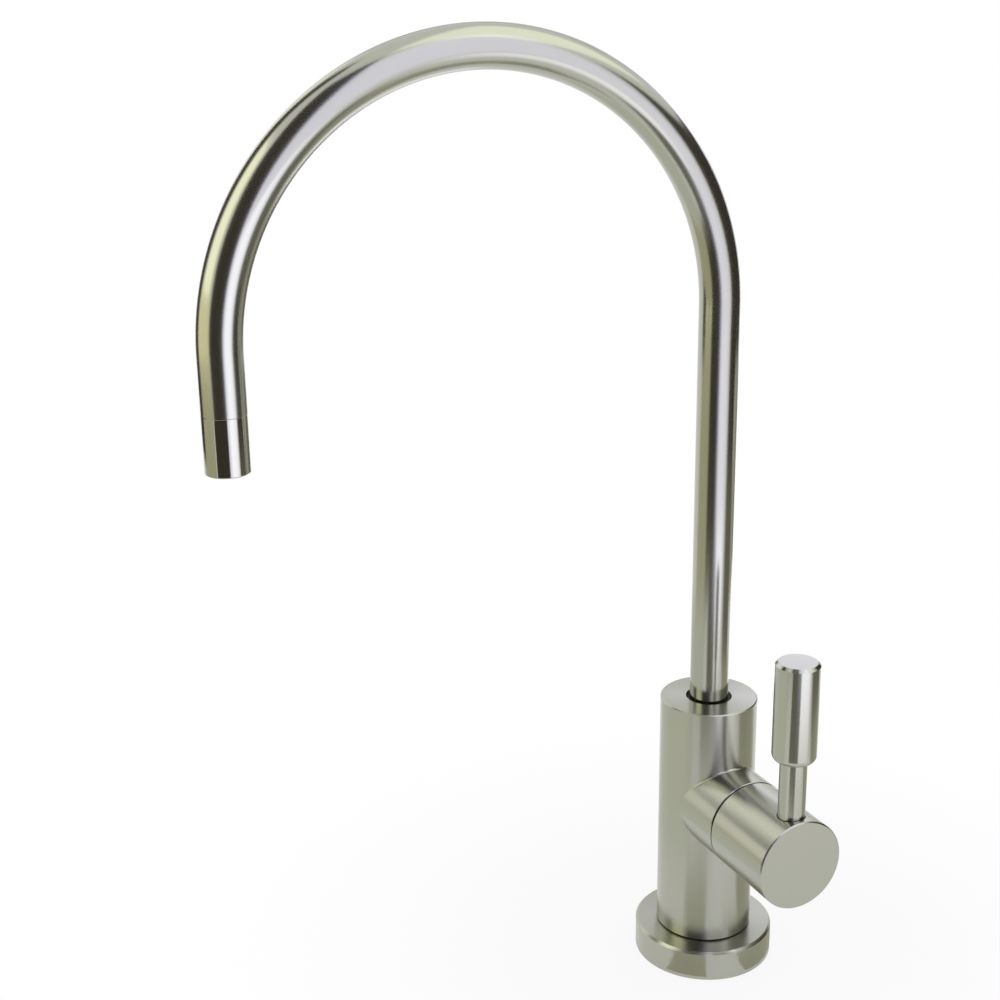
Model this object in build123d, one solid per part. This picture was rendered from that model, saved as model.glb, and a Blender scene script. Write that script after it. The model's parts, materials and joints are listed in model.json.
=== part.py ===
from build123d import *
import math
import os

# Water filter tap with a swivelling swan-neck spout and a quarter-turn side handle.
# Sizes are in millimetres. Z is up and the worktop's top face is z = 0, on the body's axis.
# The spout reaches to -Y, over the sink, and the handle's axis runs to +X.

# Spout: half-inch tube bent in a half circle
tube_d = 12.7
tube_wall = 0.8
bend_r = 78.5
riser_h = 131.0
outlet_drop = 32.6
tip_l = 16.6
tip_spigot_l = 7.0
tip_wall = 1.2
seam_chamfer = 0.15
outlet_chamfer = 0.3

# Flow straightener in the outlet
strainer_t = 4.0
strainer_recess = 1.2
strainer_hole_d = 1.3
strainer_pitch = 2.1
strainer_rings = 2
strainer_ring_holes = 6

# Body and its side boss
body_d = 32.0
body_h = 83.5
body_edge = 0.3
boss_drop = 35.0
boss_d = 29.5
boss_l = 26.2
boss_edge = 0.2
boss_joint_round = 0.5

# Base disc and its seals
flange_d = 46.5
flange_h = 10.2
flange_edge = 0.8
flange_bore_clear = 0.35
flange_rim = 1.75
body_gap = 0.3
body_gasket_t = 1.0
body_gasket_d = 30.2
body_gasket_w = 3.2
base_gasket_t = 2.4
base_gasket_w = 9.5

# Spout socket in the body, and what sits in it
socket_d = 15.2
socket_depth = 20.1
gallery_depth = 2.9
gallery_d = 14.2
foot_l = 15.5
foot_seat_gap = 0.1
foot_clear = 0.1
foot_bore_d = 9.8
foot_cup = 7.8
foot_ring_depth = 1.4
foot_ring_w = 1.9
foot_ring_low = 1.2
foot_ring_step = 3.1
snap_low = 10.6
snap_w = 1.7
snap_depth = 0.6
snap_bite = 0.75
snap_clear = 0.2
snap_opening = 40.0
bush_t = 2.6
bush_sink = 1.4
bush_clear = 0.08
bush_fit = 0.02

# Water ways through the body
water_d = 5.5
outlet_way_d = 4.0
outlet_way_x = 7.0

# Threaded shank through the worktop, 7/16 inch
shank_d = 11.11
shank_grip = 16.5
shank_below = 56.0
shank_bore_d = 6.0
thread_clear = 0.05
shank_ring_d = 2.0

# Clamp under the worktop
worktop_t = 20.0
rubber_washer_d = 32.0
rubber_washer_t = 3.0
clamp_washer_d = 29.0
clamp_washer_t = 1.5
washer_clear = 0.3
lock_washer_d = 19.0
lock_washer_t = 1.0
lock_washer_teeth = 12
lock_tooth_l = 1.7
lock_tooth_gap = 1.4
nut_af = 17.46
nut_t = 6.4
nut_edge = 0.8

# Push-fit inlet for quarter-inch tube
inlet_bore_d = 6.5
inlet_hex_af = 17.0
inlet_hex_l = 12.0
inlet_barrel_d = 15.0
inlet_grip = 9.0
inlet_seal_t = 1.0
inlet_web = 2.0
inlet_way_d = 5.0
inlet_socket_l = 7.0
inlet_ring_l = 2.4
inlet_ring_room_d = 9.8
inlet_chamber_l = 4.1
inlet_chamber_d = 11.2
inlet_cone_l = 1.2
inlet_mouth_l = 2.8
inlet_mouth_d = 10.0
collet_clear = 0.1
collet_wall_clear = 0.05
collet_head_l = 1.9
collet_head_d = 10.5
collet_head_gap = 0.3
collet_travel = 1.0
collet_cap_d = 12.6
collet_cap_t = 1.5
collet_slot_w = 0.8

# Quarter-turn cartridge, placed by its distance from the body's axis along +X
chamber_floor = 5.5
chamber_d = 17.2
chamber_l = 9.5
boss_thread_d = 18.0
seal_seat_t = 1.5
seal_seat_d = 15.0
disc_d = 14.0
fixed_disc_t = 3.2
moving_disc_t = 2.8
lap_gap = 0.05
port_inner_d = 4.4
port_outer_d = 11.2
port_angle = 78.0
disc_lug_w = 2.4
disc_lug_out = 0.8
lug_clear = 0.2
drive_t = 1.9
drive_d = 13.8
drive_gap = 0.1
tang_w = 2.4
tang_l = 12.0
tang_h = 1.3
tang_clear = 0.1
thrust_t = 0.5
thrust_gap = 0.05
skirt_wall = 0.8
skirt_clear = 0.2
window_w = 7.0
spindle_d = 8.0
spindle_clear = 0.05
spindle_ring_depth = 1.1
spindle_ring_w = 1.7
spindle_ring_step = 3.2
spindle_ring_first = 2.4
housing_ring_d = 1.3
housing_hex_af = 20.0
housing_hex_t = 3.0
neck_d = 12.0
neck_l = 3.8
clip_gap = 0.1
clip_t = 0.8
clip_d = 11.6
clip_depth = 0.65
clip_opening = 60.0
spline_teeth = 20
spline_root_share = 0.3
spline_flank_share = 0.15
spline_depth = 0.45
spline_l = 8.6
spline_start_gap = 0.5

# Drum handle on the cartridge
hub_d = 29.5
hub_l = 28.4
hub_gap = 0.4
hub_edge = 0.4
hub_cavity_d = 24.4
hub_web_gap = 1.1
hub_spline_clear = 0.05
hub_spline_end = 0.5
grub_d = 4.0
grub_l = 8.2
grub_socket_af = 2.0
grub_socket_h = 2.2
grub_tip_gap = 0.05
grub_clear = 0.05

# Pin lever with its thicker grip
lever_inset = 6.0
stem_d = 8.5
stem_free_l = 18.75
stem_sink = 1.35
stem_clear = 0.25
grip_d = 13.8
grip_l = 32.5
grip_top_edge = 0.9
grip_low_round = 2.2
lever_thread_d = 5.0
lever_thread_l = 10.6
lever_thread_room = 0.4

# Places worked out from the sizes
touching = 0.001
body_z = flange_h + body_gap
body_top = body_z + body_h
handle_z = body_top - boss_drop
bend_z = body_top + riser_h
outlet_z = bend_z - outlet_drop
tip_top = outlet_z + tip_l
tube_r = tube_d / 2
tube_inner_r = tube_r - tube_wall
socket_floor = body_top - socket_depth
foot_z = socket_floor + foot_seat_gap
foot_r = socket_d / 2 - foot_clear
tube_end = foot_z + foot_l - foot_cup
shank_r = shank_d / 2
shank_top = body_z + shank_grip
hub_start = boss_l + hub_gap
hub_end = hub_start + hub_l
lever_x = hub_end - lever_inset
hub_crown = handle_z + hub_d / 2
fixed_disc_x = chamber_floor + seal_seat_t
moving_disc_x = fixed_disc_x + fixed_disc_t + lap_gap
drive_x = moving_disc_x + moving_disc_t + drive_gap
thrust_x = drive_x + drive_t + thrust_gap
shoulder_x = thrust_x + thrust_t + thrust_gap
housing_hex_x = boss_l
neck_end = housing_hex_x + housing_hex_t + neck_l
clip_x = neck_end + clip_gap
spline_x = clip_x + clip_t + spline_start_gap
spline_end = spline_x + spline_l


# Shared shapes


def rod(diameter, start, end):
    """Round bar about the Z axis from height start to height end."""
    low_end = (Align.CENTER, Align.CENTER, Align.MIN)
    return Pos(0, 0, start) * Cylinder(diameter / 2, end - start, align=low_end)


def ring(outer_d, inner_d, start, end):
    """Plain washer or sleeve about the Z axis."""
    return rod(outer_d, start, end) - rod(inner_d, start, end)


def turned(points):
    """Solid of revolution about the Z axis through points given as radius and height."""
    outline = make_face(Polyline(*points, close=True))
    return revolve(Plane.XZ * outline, Axis.Z, 360)


def hexagon(across_flats, start, end):
    """Hexagonal bar about the Z axis."""
    face = RegularPolygon(across_flats / 2, 6, major_radius=False)
    return extrude(Pos(0, 0, start) * face, amount=end - start)


def seal_ring(inner_d, section_d, middle):
    """Rubber ring of round section about the Z axis, with its middle at the given height."""
    return Pos(0, 0, middle) * Torus(inner_d / 2 + section_d / 2, section_d / 2)


def sector(diameter, angle, start, end):
    """Pie slice about the Z axis, centred on the local X axis."""
    low_end = (Align.NONE, Align.NONE, Align.MIN)
    pie = Cylinder(diameter / 2, end - start, arc_size=angle, align=low_end)
    return Pos(0, 0, start) * Rot(0, 0, -angle / 2) * pie


def splined(root_d, tip_d, start, end):
    """Bar with straight-sided teeth about the Z axis."""
    one_tooth = (
        (root_d / 2, 0),
        (root_d / 2, spline_root_share),
        (tip_d / 2, spline_root_share + spline_flank_share),
        (tip_d / 2, 1 - spline_flank_share),
    )
    points = []
    for tooth in range(spline_teeth):
        for radius, share in one_tooth:
            angle = math.radians(360 * (tooth + share) / spline_teeth)
            points.append((radius * math.cos(angle), radius * math.sin(angle)))
    outline = make_face(Polyline(*points, close=True))
    return extrude(Pos(0, 0, start) * outline, amount=end - start)


def circles_at(shape, diameter, height):
    """Circular edges of the given diameter at the given height."""
    found = []
    for edge in shape.edges().filter_by(GeomType.CIRCLE):
        same_size = abs(edge.radius - diameter / 2) < touching
        if same_size and abs(edge.arc_center.Z - height) < touching:
            found.append(edge)
    return found


def on_handle_axis(shape):
    """Turns a shape built about Z so that it lies along +X on the handle's axis."""
    return Pos(0, 0, handle_z) * Rot(0, 90, 0) * shape


# Spout


def spout_path(start, end):
    """Middle line of the tube from its foot, over the bend, to the given height at the outlet."""
    riser = Line((0, 0, start), (0, 0, bend_z))
    bend = ThreePointArc((0, 0, bend_z), (0, -bend_r, bend_z + bend_r), (0, -2 * bend_r, bend_z))
    drop = Line((0, -2 * bend_r, bend_z), (0, -2 * bend_r, end))
    return Wire([riser, bend, drop])


def spout_tube():
    path = spout_path(tube_end, tip_top)
    section = Plane.XY.offset(tube_end) * (Circle(tube_r) - Circle(tube_inner_r))
    tube = sweep(section, path=path)
    outlet_rim = []
    for edge in circles_at(tube, tube_d, tip_top):
        if edge.arc_center.Y < -bend_r:
            outlet_rim.append(edge)
    return chamfer(outlet_rim, seam_chamfer)


def at_outlet(shape):
    return Pos(0, -2 * bend_r, 0) * shape


def spout_tip():
    spigot_r = tube_inner_r - thread_clear
    bore_r = tube_r - tip_wall
    waterway_r = spigot_r - tube_wall
    ledge_z = outlet_z + strainer_recess + strainer_t
    points = (
        (waterway_r, tip_top + tip_spigot_l),
        (spigot_r, tip_top + tip_spigot_l),
        (spigot_r, tip_top),
        (tube_r - seam_chamfer, tip_top),
        (tube_r, tip_top - seam_chamfer),
        (tube_r, outlet_z + outlet_chamfer),
        (tube_r - outlet_chamfer, outlet_z),
        (bore_r, outlet_z),
        (bore_r, ledge_z),
        (waterway_r, ledge_z),
    )
    return at_outlet(turned(points))


def flow_straightener():
    start = outlet_z + strainer_recess
    disc = rod(tube_d - 2 * tip_wall, start, start + strainer_t)
    hole = rod(strainer_hole_d, start, start + strainer_t)
    holes = hole
    for row in range(1, strainer_rings + 1):
        row_holes = strainer_ring_holes * row
        for place in range(row_holes):
            turn = Rot(0, 0, 360 * place / row_holes)
            holes += turn * Pos(strainer_pitch * row, 0, 0) * hole
    return at_outlet(disc - holes)


def foot_ring_z(index):
    """Middle height of a seal groove of the foot."""
    return foot_z + foot_ring_low + foot_ring_w / 2 + index * foot_ring_step


def spout_foot():
    top = foot_z + foot_l
    foot = rod(2 * foot_r, foot_z, top) - rod(foot_bore_d, foot_z, top) - rod(tube_d, tube_end, top)
    for index in range(2):
        low = foot_ring_z(index) - foot_ring_w / 2
        foot -= ring(socket_d, 2 * (foot_r - foot_ring_depth), low, low + foot_ring_w)
    snap_z = foot_z + snap_low
    return foot - ring(socket_d, 2 * (foot_r - snap_depth), snap_z, snap_z + snap_w)


def spout_oring(index):
    groove_r = foot_r - foot_ring_depth
    section_d = socket_d / 2 - foot_clear / 2 - groove_r
    return seal_ring(2 * groove_r, section_d, foot_ring_z(index))


def spout_snap_ring():
    start = foot_z + snap_low + snap_clear / 2
    outer_d = socket_d + 2 * snap_bite
    inner_d = 2 * (foot_r - snap_depth) + thread_clear
    whole = ring(outer_d, inner_d, start, start + snap_w - snap_clear)
    return whole - sector(2 * outer_d, snap_opening, start, start + snap_w)


# Body


def tap_body():
    r = body_d / 2
    points = (
        (0, body_z),
        (r - body_edge, body_z),
        (r, body_z + body_edge),
        (r, body_top - body_edge),
        (r - body_edge, body_top),
        (0, body_top),
    )
    boss = rod(boss_d, 0, boss_l)
    boss = chamfer(circles_at(boss, boss_d, boss_l), boss_edge)
    body = turned(points) + on_handle_axis(boss)
    joint = body.edges().filter_by(GeomType.BSPLINE)
    body = fillet(joint, boss_joint_round)
    return body - spout_socket() - water_ways() - cartridge_bores() - shank_bores()


def spout_socket():
    """Bore for the spout's foot, with the groove that its snap ring springs into."""
    bore = rod(socket_d, socket_floor, body_top)
    gallery = rod(gallery_d, socket_floor - gallery_depth, socket_floor)
    snap_z = foot_z + snap_low
    groove_d = socket_d + 2 * (snap_bite + snap_clear)
    groove = rod(groove_d, snap_z - snap_clear, snap_z + snap_w + snap_clear)
    return bore + gallery + groove


def water_ways():
    """Inlet from the shank to the cartridge's seat, and outlet from its chamber to the spout."""
    inlet = rod(water_d, shank_top, handle_z)
    elbow = Pos(0, 0, handle_z) * Sphere(water_d / 2)
    seat = on_handle_axis(rod(water_d, 0, chamber_floor))
    outlet = rod(outlet_way_d, handle_z + disc_d / 2, socket_floor - gallery_depth)
    return inlet + elbow + seat + Pos(outlet_way_x, 0, 0) * outlet


def cartridge_bores():
    """Chamber for the ceramic discs, thread for the housing and seat for its outer seal."""
    chamber = rod(chamber_d, chamber_floor, chamber_floor + chamber_l)
    thread = rod(boss_thread_d + 2 * thread_clear, chamber_floor + chamber_l, boss_l)
    seal_seat = rod(boss_thread_d + 2 * housing_ring_d, boss_l - housing_ring_d, boss_l)
    return on_handle_axis(chamber + thread + seal_seat)


def shank_bores():
    thread = rod(shank_d + 2 * thread_clear, body_z, shank_top)
    seal_seat = rod(shank_d + 2 * shank_ring_d, body_z, body_z + shank_ring_d)
    return thread + seal_seat


def spout_bush():
    top = body_top - bush_sink
    return ring(socket_d - 2 * bush_fit, tube_d + 2 * bush_clear, top - bush_t, top)


def base_flange():
    r = flange_d / 2
    bore_r = shank_r + flange_bore_clear
    seat_z = flange_h - (body_gasket_t - body_gap)
    seat_inner_r = body_gasket_d / 2 - body_gasket_w
    points = (
        (bore_r, base_gasket_t),
        (r - flange_rim, base_gasket_t),
        (r - flange_rim, 0),
        (r, 0),
        (r, flange_h - flange_edge),
        (r - flange_edge, flange_h),
        (body_gasket_d / 2, flange_h),
        (body_gasket_d / 2, seat_z),
        (seat_inner_r, seat_z),
        (seat_inner_r, flange_h),
        (bore_r, flange_h),
    )
    return turned(points)


def body_gasket():
    inner_d = body_gasket_d - 2 * body_gasket_w
    return ring(body_gasket_d, inner_d, body_z - body_gasket_t, body_z)


def base_gasket():
    outer_d = flange_d - 2 * flange_rim
    return ring(outer_d, outer_d - 2 * base_gasket_w, 0, base_gasket_t)


def threaded_shank():
    shank = rod(shank_d, -shank_below, shank_top)
    return shank - rod(shank_bore_d, -shank_below, shank_top)


def shank_oring():
    return seal_ring(shank_d, shank_ring_d - thread_clear, body_z + shank_ring_d / 2)


# Clamp under the worktop

rubber_top = -worktop_t
clamp_top = rubber_top - rubber_washer_t
lock_top = clamp_top - clamp_washer_t
nut_top = lock_top - lock_washer_t
washer_bore_d = shank_d + 2 * washer_clear


def rubber_washer():
    return ring(rubber_washer_d, washer_bore_d, clamp_top, rubber_top)


def clamp_washer():
    return ring(clamp_washer_d, washer_bore_d, lock_top, clamp_top)


def lock_washer():
    washer = ring(lock_washer_d, washer_bore_d, nut_top, lock_top)
    low_end = (Align.CENTER, Align.CENTER, Align.MIN)
    gap = Box(2 * lock_tooth_l, lock_tooth_gap, lock_washer_t, align=low_end)
    for index in range(lock_washer_teeth):
        turn = Rot(0, 0, 360 * index / lock_washer_teeth)
        washer -= turn * Pos(washer_bore_d / 2, 0, nut_top) * gap
    return washer


def chamfered_hexagon(across_flats, edge, start, end):
    """Hexagonal bar whose corners are turned off at both ends, as on a nut."""
    corner_r = across_flats / math.sqrt(3)
    blank = (
        (0, start),
        (across_flats / 2, start),
        (corner_r, start + edge),
        (corner_r, end - edge),
        (across_flats / 2, end),
        (0, end),
    )
    return hexagon(across_flats, start, end) & turned(blank)


def mounting_nut():
    low = nut_top - nut_t
    nut = chamfered_hexagon(nut_af, nut_edge, low, nut_top)
    return nut - rod(shank_d + 2 * thread_clear, low, nut_top)


# Push-fit inlet

inlet_top = -shank_below + inlet_grip
inlet_floor = -shank_below - inlet_seal_t
socket_top = inlet_floor - inlet_web
ring_top = socket_top - inlet_socket_l
collet_room_top = ring_top - inlet_ring_l
cone_top = collet_room_top - inlet_chamber_l
mouth_top = cone_top - inlet_cone_l
inlet_end = mouth_top - inlet_mouth_l


def inlet_connector():
    hex_end = inlet_top - inlet_hex_l
    outside = chamfered_hexagon(inlet_hex_af, nut_edge, hex_end, inlet_top)
    outside += rod(inlet_barrel_d, inlet_end, hex_end)
    thread_r = shank_r + thread_clear
    inside = (
        (0, inlet_top),
        (thread_r, inlet_top),
        (thread_r, inlet_floor),
        (inlet_way_d / 2, inlet_floor),
        (inlet_way_d / 2, socket_top),
        (inlet_bore_d / 2, socket_top),
        (inlet_bore_d / 2, ring_top),
        (inlet_ring_room_d / 2, ring_top),
        (inlet_ring_room_d / 2, collet_room_top),
        (inlet_chamber_d / 2, collet_room_top),
        (inlet_chamber_d / 2, cone_top),
        (inlet_mouth_d / 2, mouth_top),
        (inlet_mouth_d / 2, inlet_end),
        (0, inlet_end),
    )
    connector = outside - turned(inside)
    return chamfer(circles_at(connector, inlet_barrel_d, inlet_end), nut_edge)


def inlet_seal():
    return ring(shank_d - 2 * thread_clear, shank_bore_d, inlet_floor, -shank_below)


def inlet_oring():
    inner_d = inlet_bore_d + 2 * collet_wall_clear
    return seal_ring(inner_d, (inlet_ring_room_d - inner_d) / 2, ring_top - inlet_ring_l / 2)


def inlet_collet():
    """Release collet: split head held behind the connector's cone, and a cap to push on."""
    head_low = cone_top + collet_head_gap
    head_top = head_low + collet_head_l
    cap_top = inlet_end - collet_travel - collet_clear
    cap_low = cap_top - collet_cap_t
    bore_r = inlet_bore_d / 2 + collet_wall_clear
    sleeve_r = inlet_mouth_d / 2 - collet_clear
    points = (
        (bore_r, head_top),
        (collet_head_d / 2 - collet_head_gap, head_top),
        (collet_head_d / 2, head_top - collet_head_gap),
        (collet_head_d / 2, head_low),
        (sleeve_r, mouth_top + collet_head_gap),
        (sleeve_r, cap_top),
        (collet_cap_d / 2, cap_top),
        (collet_cap_d / 2, cap_low),
        (bore_r, cap_low),
    )
    collet = turned(points)
    top_end = (Align.CENTER, Align.CENTER, Align.MAX)
    slot = Box(collet_cap_d, collet_slot_w, head_top - inlet_end, align=top_end)
    for angle in (0, 90):
        collet -= Rot(0, 0, angle) * Pos(0, 0, head_top) * slot
    return collet


# Cartridge, built about Z with height standing for the distance along the handle's axis


def seat_seal():
    return on_handle_axis(ring(seal_seat_d, port_outer_d, chamber_floor, fixed_disc_x))


def fixed_disc():
    """Lower ceramic disc: two closed ports above and below, and two lugs that stop it turning."""
    disc = rod(disc_d, fixed_disc_x, fixed_disc_x + fixed_disc_t)
    low_end = (Align.CENTER, Align.CENTER, Align.MIN)
    lugs = Box(disc_lug_w, disc_d + 2 * disc_lug_out, fixed_disc_t, align=low_end)
    disc += Pos(0, 0, fixed_disc_x) * lugs
    port = sector(port_outer_d, port_angle, fixed_disc_x, fixed_disc_x + fixed_disc_t)
    port -= rod(port_inner_d, fixed_disc_x, fixed_disc_x + fixed_disc_t)
    return on_handle_axis(disc - port - Rot(0, 0, 180) * port)


def moving_disc():
    """Upper ceramic disc: bow-tie shaped, with a slot for the spindle's tang."""
    end = moving_disc_x + moving_disc_t
    disc = rod(disc_d, moving_disc_x, end)
    notch = sector(2 * disc_d, port_angle, moving_disc_x, end) - rod(port_inner_d, moving_disc_x, end)
    slot_w = tang_w + 2 * tang_clear
    top_end = (Align.CENTER, Align.CENTER, Align.MAX)
    slot = Box(disc_d, slot_w, tang_h + tang_clear, align=top_end)
    disc -= Rot(0, 0, 90) * notch + Rot(0, 0, -90) * notch
    return on_handle_axis(disc - Pos(0, 0, end) * slot)


def cartridge_housing():
    """Brass housing: skirt round the discs with two windows, thread, hexagon and neck."""
    skirt_inner_r = disc_d / 2 + skirt_clear
    skirt_r = skirt_inner_r + skirt_wall
    thread_r = boss_thread_d / 2
    thread_x = chamber_floor + chamber_l + thread_clear
    skirt_end = fixed_disc_x + skirt_clear
    bore_r = spindle_d / 2 + spindle_clear
    points = (
        (skirt_inner_r, skirt_end),
        (skirt_r, skirt_end),
        (skirt_r, thread_x),
        (thread_r, thread_x),
        (thread_r, housing_hex_x),
        (neck_d / 2, housing_hex_x),
        (neck_d / 2, neck_end),
        (bore_r, neck_end),
        (bore_r, shoulder_x),
        (skirt_inner_r, shoulder_x),
    )
    hex_end = housing_hex_x + housing_hex_t
    hexagon_head = hexagon(housing_hex_af, housing_hex_x, hex_end)
    housing = turned(points) + (hexagon_head - rod(neck_d, housing_hex_x, hex_end))
    low_end = (Align.CENTER, Align.CENTER, Align.MIN)
    windows = Box(chamber_d, window_w, drive_x - moving_disc_x, align=low_end)
    lug_slots = Box(disc_lug_w + 2 * lug_clear, chamber_d, fixed_disc_t, align=low_end)
    housing -= Pos(0, 0, moving_disc_x) * windows
    housing -= Pos(0, 0, skirt_end - skirt_clear) * lug_slots
    return on_handle_axis(housing)


def cartridge_oring():
    middle = boss_l - housing_ring_d / 2
    return on_handle_axis(seal_ring(boss_thread_d, housing_ring_d - thread_clear, middle))


def thrust_washer():
    return on_handle_axis(ring(drive_d, spindle_d + 2 * spindle_clear, thrust_x, thrust_x + thrust_t))


def spindle_ring_x(index):
    """Middle of a seal groove of the spindle."""
    return shoulder_x + spindle_ring_first + index * spindle_ring_step


def cartridge_spindle():
    """Spindle: tang and drive disc, two seal grooves, clip groove and splined end."""
    spindle = rod(drive_d, drive_x, drive_x + drive_t) + rod(spindle_d, drive_x, spline_x)
    spindle += splined(spindle_d - 2 * spline_depth, spindle_d, spline_x, spline_end)
    top_end = (Align.CENTER, Align.CENTER, Align.MAX)
    tang = Box(tang_l, tang_w, tang_h + drive_gap, align=top_end)
    spindle += Pos(0, 0, drive_x) * tang
    for index in range(2):
        middle = spindle_ring_x(index)
        start = middle - spindle_ring_w / 2
        spindle -= ring(neck_d, spindle_d - 2 * spindle_ring_depth, start, start + spindle_ring_w)
    spindle -= ring(neck_d, spindle_d - 2 * clip_depth, clip_x, clip_x + clip_t)
    return on_handle_axis(spindle)


def spindle_oring(index):
    inner_d = spindle_d - 2 * spindle_ring_depth
    return on_handle_axis(seal_ring(inner_d, spindle_ring_depth, spindle_ring_x(index)))


def spindle_clip():
    clip = ring(clip_d, spindle_d - 2 * clip_depth, clip_x, clip_x + clip_t)
    return on_handle_axis(clip - sector(2 * clip_d, clip_opening, clip_x, clip_x + clip_t))


# Handle


def grub_x():
    """Distance of the grub screw along the handle's axis, in the middle of the spline."""
    return (spline_x + spline_end) / 2


def grub_tip():
    """Height of the grub screw's point, just under the spline."""
    return handle_z - spindle_d / 2 - grub_tip_gap


def handle_hub():
    """Drum handle with its cartridge recess, splined socket and two threaded cross holes."""
    hub = rod(hub_d, hub_start, hub_end)
    hub = chamfer(circles_at(hub, hub_d, hub_end) + circles_at(hub, hub_d, hub_start), hub_edge)
    recess_end = clip_x + clip_t + hub_web_gap
    hub -= rod(hub_cavity_d, hub_start, recess_end)
    root_d = spindle_d - 2 * spline_depth + 2 * hub_spline_clear
    hub -= splined(root_d, spindle_d + 2 * hub_spline_clear, recess_end, spline_end + hub_spline_end)
    hub = on_handle_axis(hub)
    stem_floor = hub_crown - stem_sink
    hub -= Pos(lever_x, 0, 0) * rod(stem_d + 2 * stem_clear, stem_floor, hub_crown)
    thread_floor = stem_floor - lever_thread_l - lever_thread_room
    hub -= Pos(lever_x, 0, 0) * rod(lever_thread_d + 2 * thread_clear, thread_floor, stem_floor)
    return hub - Pos(grub_x(), 0, 0) * rod(grub_d + 2 * grub_clear, handle_z - hub_d / 2, handle_z)


def lever():
    """Stem and grip turned in one piece, with a threaded root."""
    floor = hub_crown - stem_sink
    grip_low = hub_crown + stem_free_l
    grip = rod(grip_d, grip_low, grip_low + grip_l)
    grip = chamfer(circles_at(grip, grip_d, grip_low + grip_l), grip_top_edge)
    grip = fillet(circles_at(grip, grip_d, grip_low), grip_low_round)
    pin = rod(stem_d, floor, grip_low) + rod(lever_thread_d, floor - lever_thread_l, floor)
    return Pos(lever_x, 0, 0) * (grip + pin)


def hub_grub_screw():
    tip = grub_tip()
    screw = rod(grub_d, tip - grub_l, tip)
    socket = hexagon(grub_socket_af, tip - grub_l, tip - grub_l + grub_socket_h)
    return Pos(grub_x(), 0, 0) * (screw - socket)


# One file for each piece

pieces = {
    "spout_tube": spout_tube(),
    "spout_tip": spout_tip(),
    "flow_straightener": flow_straightener(),
    "spout_foot": spout_foot(),
    "spout_oring_lower": spout_oring(0),
    "spout_oring_upper": spout_oring(1),
    "spout_snap_ring": spout_snap_ring(),
    "tap_body": tap_body(),
    "spout_bush": spout_bush(),
    "body_gasket": body_gasket(),
    "base_flange": base_flange(),
    "base_gasket": base_gasket(),
    "threaded_shank": threaded_shank(),
    "shank_oring": shank_oring(),
    "rubber_washer": rubber_washer(),
    "clamp_washer": clamp_washer(),
    "lock_washer": lock_washer(),
    "mounting_nut": mounting_nut(),
    "inlet_connector": inlet_connector(),
    "inlet_seal": inlet_seal(),
    "inlet_oring": inlet_oring(),
    "inlet_collet": inlet_collet(),
    "cartridge_housing": cartridge_housing(),
    "cartridge_oring": cartridge_oring(),
    "seat_seal": seat_seal(),
    "fixed_disc": fixed_disc(),
    "moving_disc": moving_disc(),
    "cartridge_spindle": cartridge_spindle(),
    "thrust_washer": thrust_washer(),
    "spindle_oring_inner": spindle_oring(0),
    "spindle_oring_outer": spindle_oring(1),
    "spindle_clip": spindle_clip(),
    "handle_hub": handle_hub(),
    "lever": lever(),
    "hub_grub_screw": hub_grub_screw(),
}

os.makedirs("parts", exist_ok=True)
for name, piece in pieces.items():
    export_step(piece, "parts/" + name + ".step")
print(len(pieces), "pieces written")
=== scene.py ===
# %% [markdown]
# # A drinking water tap in satin nickel
# This lesson dresses a finished CAD model. The solids come in first as a fixed frame, in metres, with the base's
# centre at the origin, the spout over -Y and the handle's axis along +X. Everything after that is looks: the
# camera, the light, a finish for each piece, and two pieces that Geometry Nodes shape again in finer form.

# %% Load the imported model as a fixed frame
import json
import math
import bpy
from mathutils import Matrix, Vector

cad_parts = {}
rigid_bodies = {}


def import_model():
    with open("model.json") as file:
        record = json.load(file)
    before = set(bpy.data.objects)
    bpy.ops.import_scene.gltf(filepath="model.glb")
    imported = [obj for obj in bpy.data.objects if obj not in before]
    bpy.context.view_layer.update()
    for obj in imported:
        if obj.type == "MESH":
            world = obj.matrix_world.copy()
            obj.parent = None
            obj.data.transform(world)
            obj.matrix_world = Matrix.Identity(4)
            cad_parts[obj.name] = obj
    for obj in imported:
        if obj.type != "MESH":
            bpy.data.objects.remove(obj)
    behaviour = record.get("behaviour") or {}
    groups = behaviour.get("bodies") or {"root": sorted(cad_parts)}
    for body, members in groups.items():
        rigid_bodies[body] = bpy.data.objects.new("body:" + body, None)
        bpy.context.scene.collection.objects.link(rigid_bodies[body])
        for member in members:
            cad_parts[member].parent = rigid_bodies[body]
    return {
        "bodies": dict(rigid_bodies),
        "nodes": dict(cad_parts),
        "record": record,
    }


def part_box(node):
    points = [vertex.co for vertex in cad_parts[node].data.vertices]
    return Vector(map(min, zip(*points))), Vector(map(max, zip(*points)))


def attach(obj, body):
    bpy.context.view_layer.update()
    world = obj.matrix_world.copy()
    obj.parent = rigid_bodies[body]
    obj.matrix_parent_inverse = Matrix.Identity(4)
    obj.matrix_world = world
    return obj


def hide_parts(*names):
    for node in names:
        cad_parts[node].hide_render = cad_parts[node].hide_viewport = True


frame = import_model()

nodes = frame["nodes"]
ours = set(nodes.values()) | set(frame["bodies"].values())
for leftover in [o for o in bpy.data.objects if o not in ours]:
    bpy.data.objects.remove(leftover)
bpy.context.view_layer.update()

# %% [markdown]
# ## Camera
# The camera stands where the photograph was taken from: to the right of the spout and a little above the tap. It
# could be placed by eye, but its place and lens were fitted instead to the outlines of the half-inch tube, the body
# and the base, so that every edge falls where the photograph has it.

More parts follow.
